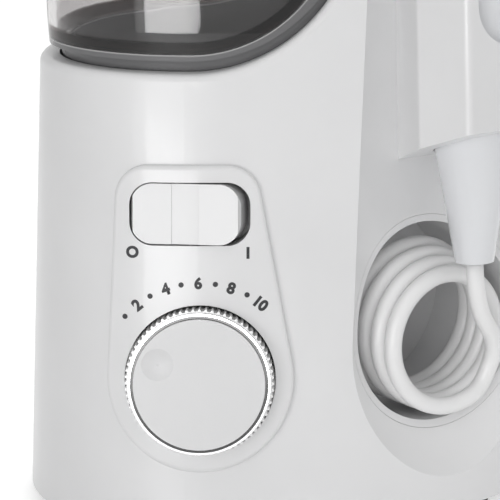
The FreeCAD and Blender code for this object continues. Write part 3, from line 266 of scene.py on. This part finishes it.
def add_bump(tree, shader, noise, strength, distance):
    """Fine relief from a noise."""
    bump = tree.nodes.new("ShaderNodeBump")
    bump.inputs["Strength"].default_value = strength
    bump.inputs["Distance"].default_value = distance
    tree.links.new(noise.outputs[0], bump.inputs["Height"])
    tree.links.new(bump.outputs["Normal"], shader.inputs["Normal"])


def vary(tree, shader, noise, socket, low, high):
    """Spreads a noise over one number of the shader."""
    spread = tree.nodes.new("ShaderNodeMapRange")
    spread.inputs["To Min"].default_value = low
    spread.inputs["To Max"].default_value = high
    tree.links.new(noise.outputs[0], spread.inputs["Value"])
    tree.links.new(spread.outputs["Result"], shader.inputs[socket])


def tint(tree, shader, noise, dark, light):
    """Clouds the base colour between two tones."""
    ramp = tree.nodes.new("ShaderNodeValToRGB")
    ramp.color_ramp.elements[0].position = 0.35
    ramp.color_ramp.elements[0].color = (*dark, 1)
    ramp.color_ramp.elements[1].position = 0.65
    ramp.color_ramp.elements[1].color = (*light, 1)
    tree.links.new(noise.outputs[0], ramp.inputs["Fac"])
    tree.links.new(ramp.outputs["Color"], shader.inputs["Base Color"])


def plastic(name, color, rough, grain_scale=900, grain=0.02, coat=0.0, spread=0.012):
    """Moulded plastic: fine grain, slightly uneven colour and gloss."""
    material, tree, shader = new_material(name)
    cloud = link_noise(tree, 35, 3)
    light = tuple(min(1, part + spread) for part in color)
    dark = tuple(max(0, part - spread) for part in color)
    tint(tree, shader, cloud, dark, light)
    vary(tree, shader, cloud, "Roughness", rough * 0.88, rough * 1.12)
    fine = link_noise(tree, grain_scale, 2)
    add_bump(tree, shader, fine, grain, 0.0002)
    shader.inputs["Coat Weight"].default_value = coat
    shader.inputs["Coat Roughness"].default_value = 0.06
    shader.inputs["IOR"].default_value = 1.47
    return material


# The rim sweeps up to the right round an axis at this place; the tank's zones follow it, in millimetres.
RIM_CENTRE = -26.5 * MM
RIM_RADIUS = 42 * MM
RIM_MIDDLE = 160 * MM
RAMP_REACH = 40.0
FOOT_END = 4.5 / RAMP_REACH
BAND_END = 7.3 / RAMP_REACH
# Width of each painted highlight line along the dark band.
EDGE_LINE = 0.4 / RAMP_REACH


def math_node(tree, operation, first, second):
    """One sum of a material; a plain number or another node's output on each side."""
    node = tree.nodes.new("ShaderNodeMath")
    node.operation = operation
    for socket, value in zip(node.inputs, (first, second)):
        if isinstance(value, float):
            socket.default_value = value
        else:
            tree.links.new(value, socket)
    return node.outputs["Value"]


def above_rim(tree):
    """Distance in millimetres from the swept rim up into the tank."""
    place = tree.nodes.new("ShaderNodeTexCoord")
    parts = tree.nodes.new("ShaderNodeSeparateXYZ")
    tree.links.new(place.outputs["Object"], parts.inputs["Vector"])
    across = math_node(tree, "MAXIMUM", math_node(tree, "SUBTRACT", parts.outputs["X"], RIM_CENTRE), 0.0)
    down = math_node(tree, "MINIMUM", math_node(tree, "SUBTRACT", parts.outputs["Z"], RIM_MIDDLE), 0.0)
    square = math_node(tree, "ADD", math_node(tree, "MULTIPLY", across, across),
                       math_node(tree, "MULTIPLY", down, down))
    away = math_node(tree, "SQRT", square, 0.0)
    return math_node(tree, "MULTIPLY", math_node(tree, "SUBTRACT", RIM_RADIUS, away), 1000.0)


def make_smoked(name):
    """Smoked plastic: a grey foot in the rim, its smoke tint with painted shade of the dark recess seen through
    it; a dark edge between two painted highlight lines; a clear wall above.
    """
    material, tree, shader = new_material(name)
    cloud = link_noise(tree, 60, 2)
    vary(tree, shader, cloud, "Roughness", 0.02, 0.05)
    ramp = tree.nodes.new("ShaderNodeValToRGB")
    # The foot's grey is its smoke tint plus painted shade: the dark recess behind the foot is painted into its
    # colour.
    foot_tint_and_painted_shade = (0.20, 0.20, 0.205)
    band = (0.022, 0.014, 0.013)
    # glint: painted highlight lines along both edges of the dark band.
    glint = (0.75, 0.74, 0.74)
    clear = (0.64, 0.625, 0.625)
    upper = (0.74, 0.73, 0.73)
    stops = ((FOOT_END - EDGE_LINE, foot_tint_and_painted_shade), (FOOT_END, glint), (FOOT_END + EDGE_LINE, band),
             (BAND_END, band), (BAND_END + EDGE_LINE, glint), (BAND_END + 2 * EDGE_LINE, clear))
    ramp.color_ramp.elements[0].color = (*foot_tint_and_painted_shade, 1)
    ramp.color_ramp.elements[1].color = (*upper, 1)
    for place, color in stops:
        ramp.color_ramp.elements.new(place).color = (*color, 1)
    height = math_node(tree, "MULTIPLY", above_rim(tree), 1 / RAMP_REACH)
    tree.links.new(height, ramp.inputs["Fac"])
    uneven = tree.nodes.new("ShaderNodeMixRGB")
    uneven.blend_type = "MULTIPLY"
    uneven.inputs["Fac"].default_value = 0.04
    tree.links.new(ramp.outputs["Color"], uneven.inputs["Color1"])
    tree.links.new(cloud.outputs[0], uneven.inputs["Color2"])
    tree.links.new(uneven.outputs["Color"], shader.inputs["Base Color"])
    # The foot lets only a quarter of the light through, so its painted shade shows; the wall above lets all of it
    # through.
    above = math_node(tree, "MULTIPLY", math_node(tree, "GREATER_THAN", height, FOOT_END), 0.75)
    tree.links.new(math_node(tree, "ADD", above, 0.25), shader.inputs["Transmission Weight"])
    shader.inputs["IOR"].default_value = 1.46
    return material


def make_metal(name, color, rough, lines):
    """Metal with faint drawn lines."""
    material, tree, shader = new_material(name)
    wave = link_noise(tree, lines, 4)
    tint(tree, shader, wave, tuple(part * 0.92 for part in color), color)
    vary(tree, shader, wave, "Roughness", rough * 0.8, rough * 1.3)
    add_bump(tree, shader, wave, 0.05, 0.0001)
    shader.inputs["Metallic"].default_value = 1
    return material


WHITE = plastic("gloss_white", (0.80, 0.80, 0.805), 0.30, coat=0.25)
ROCKER_WHITE = plastic("rocker_white", (0.66, 0.66, 0.665), 0.26, coat=0.3)
SATIN = plastic("satin_white", (0.74, 0.74, 0.74), 0.42, grain=0.05)
HANDLE_WHITE = plastic("handle_white", (0.79, 0.80, 0.82), 0.22, coat=0.4)
HOSE_WHITE = plastic("hose_white", (0.90, 0.90, 0.90), 0.30, grain_scale=500, grain=0.05)
DIAL_SATIN = plastic("dial_satin", (0.74, 0.74, 0.745), 0.36, grain_scale=2600, grain=0.10)
KNURL = plastic("knurl_bright", (0.80, 0.80, 0.80), 0.18, coat=0.5)
GREY = plastic("button_grey", (0.42, 0.44, 0.48), 0.28)
BLACK = plastic("gloss_black", (0.012, 0.012, 0.013), 0.12, coat=0.5, spread=0.002)
INK = plastic("printed_ink", (0.022, 0.022, 0.025), 0.45, grain_scale=3000, grain=0.08, spread=0.006)
RUBBER = plastic("grey_rubber", (0.10, 0.10, 0.105), 0.62, grain_scale=700, grain=0.15)
BOARD = plastic("circuit_board", (0.03, 0.14, 0.06), 0.35)
MILKY = plastic("milky_tube", (0.70, 0.70, 0.68), 0.4)
SMOKED = make_smoked("smoked_clear")
CHROME = make_metal("mirror_chrome", (0.82, 0.82, 0.83), 0.07, 200)
STEEL = make_metal("plain_steel", (0.55, 0.55, 0.56), 0.3, 400)
BRASS = make_metal("turned_brass", (0.72, 0.55, 0.25), 0.28, 400)

BY_SLOT = {
    "white_shell": WHITE, "rocker_white": ROCKER_WHITE, "white_satin": SATIN, "handle_white": HANDLE_WHITE,
    "hose_white": HOSE_WHITE, "smoked": SMOKED, "clear_tube": MILKY, "black_gloss": BLACK,
    "knurl_grey": KNURL, "dial_satin": DIAL_SATIN, "button_grey": GREY, "board_green": BOARD,
    "chrome": CHROME, "steel": STEEL, "brass": BRASS, "grey_rubber": RUBBER,
}


def dress(piece, material):
    """Gives a piece one material."""
    piece.data.materials.clear()
    piece.data.materials.append(material)


def dress_nodes():
    """Every CAD node takes the material of its slot."""
    for part in frame["record"]["subparts"]:
        dress(nodes[part["node"]], BY_SLOT[part["material_slot"]])


dress_nodes()
dress(nodes["switch_body"], SATIN)
dress(hose, HOSE_WHITE)


# ---- printed marks ----

def ray_to(node, start, way):
    """Where a ray first meets a CAD node."""
    hit, place, normal, index = nodes[node].ray_cast(start, way)
    return place if hit else None


def on_panel(right, rise):
    """Point beside and above the dial, in millimetres along the panel."""
    return DIAL + Vector((right * MM, 0, 0)) + PANEL_UP * rise * MM


def flat_text(body):
    """Mesh of a bold figure, centred on the origin, one unit tall."""
    curve = bpy.data.curves.new("figure", "FONT")
    curve.body = body
    curve.offset = 0.05
    curve.resolution_u = 5
    curve.space_character = 0.95
    holder = bpy.data.objects.new("figure", curve)
    bpy.context.scene.collection.objects.link(holder)
    bpy.context.view_layer.update()
    mesh = bpy.data.meshes.new_from_object(holder)
    bpy.data.objects.remove(holder)
    across = [vertex.co.x for vertex in mesh.vertices]
    along = [vertex.co.y for vertex in mesh.vertices]
    tall = max(along) - min(along)
    centre = Vector(((max(across) + min(across)) / 2, (max(along) + min(along)) / 2, 0))
    for vertex in mesh.vertices:
        vertex.co = (vertex.co - centre) / tall
    return mesh


def flat_dot():
    """Mesh of a round dot, one unit across."""
    mesh = bmesh.new()
    bmesh.ops.create_circle(mesh, cap_ends=True, segments=32, radius=0.5)
    data = bpy.data.meshes.new("dot")
    mesh.to_mesh(data)
    mesh.free()
    return data


def print_on(name, mesh, node, right, rise, tall, turn=0.0, wide=1.0):
    """Lays a flat mark on the panel: each of its points moves on to the surface behind it."""
    ink = bmesh.new()
    ink.from_mesh(mesh)
    bmesh.ops.triangulate(ink, faces=ink.faces)
    swing = Matrix.Rotation(turn, 3, "Z")
    for vertex in ink.verts:
        local = swing @ Vector((vertex.co.x * wide, vertex.co.y, 0)) * tall
        start = on_panel(right + local.x, rise + local.y) + PANEL_OUT * 0.02
        place = ray_to(node, start, -PANEL_OUT)
        vertex.co = (place if place is not None else start - PANEL_OUT * 0.02) + PANEL_OUT * 0.04 * MM
    data = bpy.data.meshes.new(name)
    ink.to_mesh(data)
    ink.free()
    piece = bpy.data.objects.new(name, data)
    bpy.context.scene.collection.objects.link(piece)
    dress(piece, INK)
    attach(piece, "base")
    return piece


SCALE_RADIUS = 24.7
FIGURE_TALL = 3.1
FIGURES = {2: -40, 4: -20.5, 6: -1, 8: 18.5, 10: 38.5}
DOTS = (-50, -30.5, -11, 9, 28.5)


def print_scale():
    """Figures 2 to 10 and the dots between them, on an arc above the dial."""
    for figure, angle in FIGURES.items():
        turn = math.radians(angle)
        print_on("figure_%d" % figure, flat_text(str(figure)), "control_panel",
                 SCALE_RADIUS * math.sin(turn), SCALE_RADIUS * math.cos(turn), FIGURE_TALL, -turn)
    for index, angle in enumerate(DOTS):
        turn = math.radians(angle)
        print_on("scale_dot_%d" % index, flat_dot(), "control_panel",
                 SCALE_RADIUS * math.sin(turn), SCALE_RADIUS * math.cos(turn), 1.35)
    print_on("mark_off", flat_text("O"), "control_panel", -17.0, 32.3, 3.1)
    print_on("mark_on", flat_text("I"), "control_panel", 12.0, 32.3, 3.0)


print_scale()


# ---- floor, lights ----

def make_floor():
    """White table top that runs into a white background and keeps the shadow."""
    mesh = bpy.data.meshes.new("table_top")
    reach = 1.5
    corners = [(-reach, -reach, 0), (reach, -reach, 0), (reach, reach, 0), (-reach, reach, 0)]
    mesh.from_pydata(corners, [], [(0, 1, 2, 3)])
    floor = bpy.data.objects.new("table_top", mesh)
    bpy.context.scene.collection.objects.link(floor)
    material, tree, shader = new_material("white_table")
    cloud = link_noise(tree, 12, 2)
    tint(tree, shader, cloud, (0.90, 0.90, 0.90), (0.92, 0.92, 0.92))
    vary(tree, shader, cloud, "Roughness", 0.6, 0.7)
    seen = seen_share(tree)
    glow = tree.nodes.new("ShaderNodeEmission")
    dark = tree.nodes.new("ShaderNodeEmission")
    glow.inputs["Strength"].default_value = 0.5
    dark.inputs["Strength"].default_value = 0.0
    pick = tree.nodes.new("ShaderNodeMixShader")
    total = tree.nodes.new("ShaderNodeAddShader")
    output = [node for node in tree.nodes if node.type == "OUTPUT_MATERIAL"][0]
    tree.links.new(seen, pick.inputs["Fac"])
    tree.links.new(dark.outputs["Emission"], pick.inputs[1])
    tree.links.new(glow.outputs["Emission"], pick.inputs[2])
    tree.links.new(shader.outputs["BSDF"], total.inputs[0])
    tree.links.new(pick.outputs["Shader"], total.inputs[1])
    tree.links.new(total.outputs["Shader"], output.inputs["Surface"])
    dress(floor, material)


def seen_share(tree):
    """One for rays from the camera, also by way of glass or a mirror."""
    path = tree.nodes.new("ShaderNodeLightPath")
    result = path.outputs["Is Camera Ray"]
    for other in ("Is Glossy Ray", "Is Transmission Ray"):
        either = tree.nodes.new("ShaderNodeMath")
        either.operation = "MAXIMUM"
        tree.links.new(result, either.inputs[0])
        tree.links.new(path.outputs[other], either.inputs[1])
        result = either.outputs["Value"]
    return result


def make_world(strength):
    """White where it is seen, softer as a light."""
    world = bpy.data.worlds.new("studio")
    bpy.context.scene.world = world
    world.use_nodes = True
    tree = world.node_tree
    tree.nodes.clear()
    seen = tree.nodes.new("ShaderNodeBackground")
    seen.inputs["Color"].default_value = (1, 1, 1, 1)
    seen.inputs["Strength"].default_value = 1.0
    lit = tree.nodes.new("ShaderNodeBackground")
    lit.inputs["Color"].default_value = (1, 1, 1, 1)
    way = tree.nodes.new("ShaderNodeTexCoord")
    parts = tree.nodes.new("ShaderNodeSeparateXYZ")
    tree.links.new(way.outputs["Generated"], parts.inputs["Vector"])
    share = tree.nodes.new("ShaderNodeMapRange")
    share.inputs["From Min"].default_value = -1.0
    share.inputs["From Max"].default_value = -0.2
    share.inputs["To Min"].default_value = 0.12 * strength
    share.inputs["To Max"].default_value = strength
    tree.links.new(parts.outputs["X"], share.inputs["Value"])
    tree.links.new(share.outputs["Result"], lit.inputs["Strength"])
    mix = tree.nodes.new("ShaderNodeMixShader")
    output = tree.nodes.new("ShaderNodeOutputWorld")
    tree.links.new(seen_share(tree), mix.inputs["Fac"])
    tree.links.new(lit.outputs["Background"], mix.inputs[1])
    tree.links.new(seen.outputs["Background"], mix.inputs[2])
    tree.links.new(mix.outputs["Shader"], output.inputs["Surface"])


def add_area(name, place, aim, wide, tall, power):
    """Rectangular lamp at a place, turned to its aim."""
    data = bpy.data.lights.new(name, "AREA")
    data.shape = "RECTANGLE"
    data.size = wide
    data.size_y = tall
    data.energy = power
    lamp = bpy.data.objects.new(name, data)
    bpy.context.scene.collection.objects.link(lamp)
    lamp.location = place
    lamp.rotation_euler = (Vector(aim) - Vector(place)).to_track_quat("-Z", "Y").to_euler()


make_floor()
make_world(0.50)
add_area("key_overhead", (0.05, -0.5, 0.95), (0, -0.02, 0.10), 0.9, 0.6, 1.3)
add_area("front_soft", (-0.40, -1.15, 0.26), (0, 0, 0.06), 0.8, 0.8, 2.9)
add_area("back_top", (0.2, 0.45, 0.75), (-0.02, -0.02, 0.12), 0.5, 0.4, 1.9)
add_area("low_fill", (-0.3, -1.1, 0.04), (0, 0, 0.0), 0.6, 0.2, 2.6)

bpy.context.scene.view_settings.view_transform = "Standard"
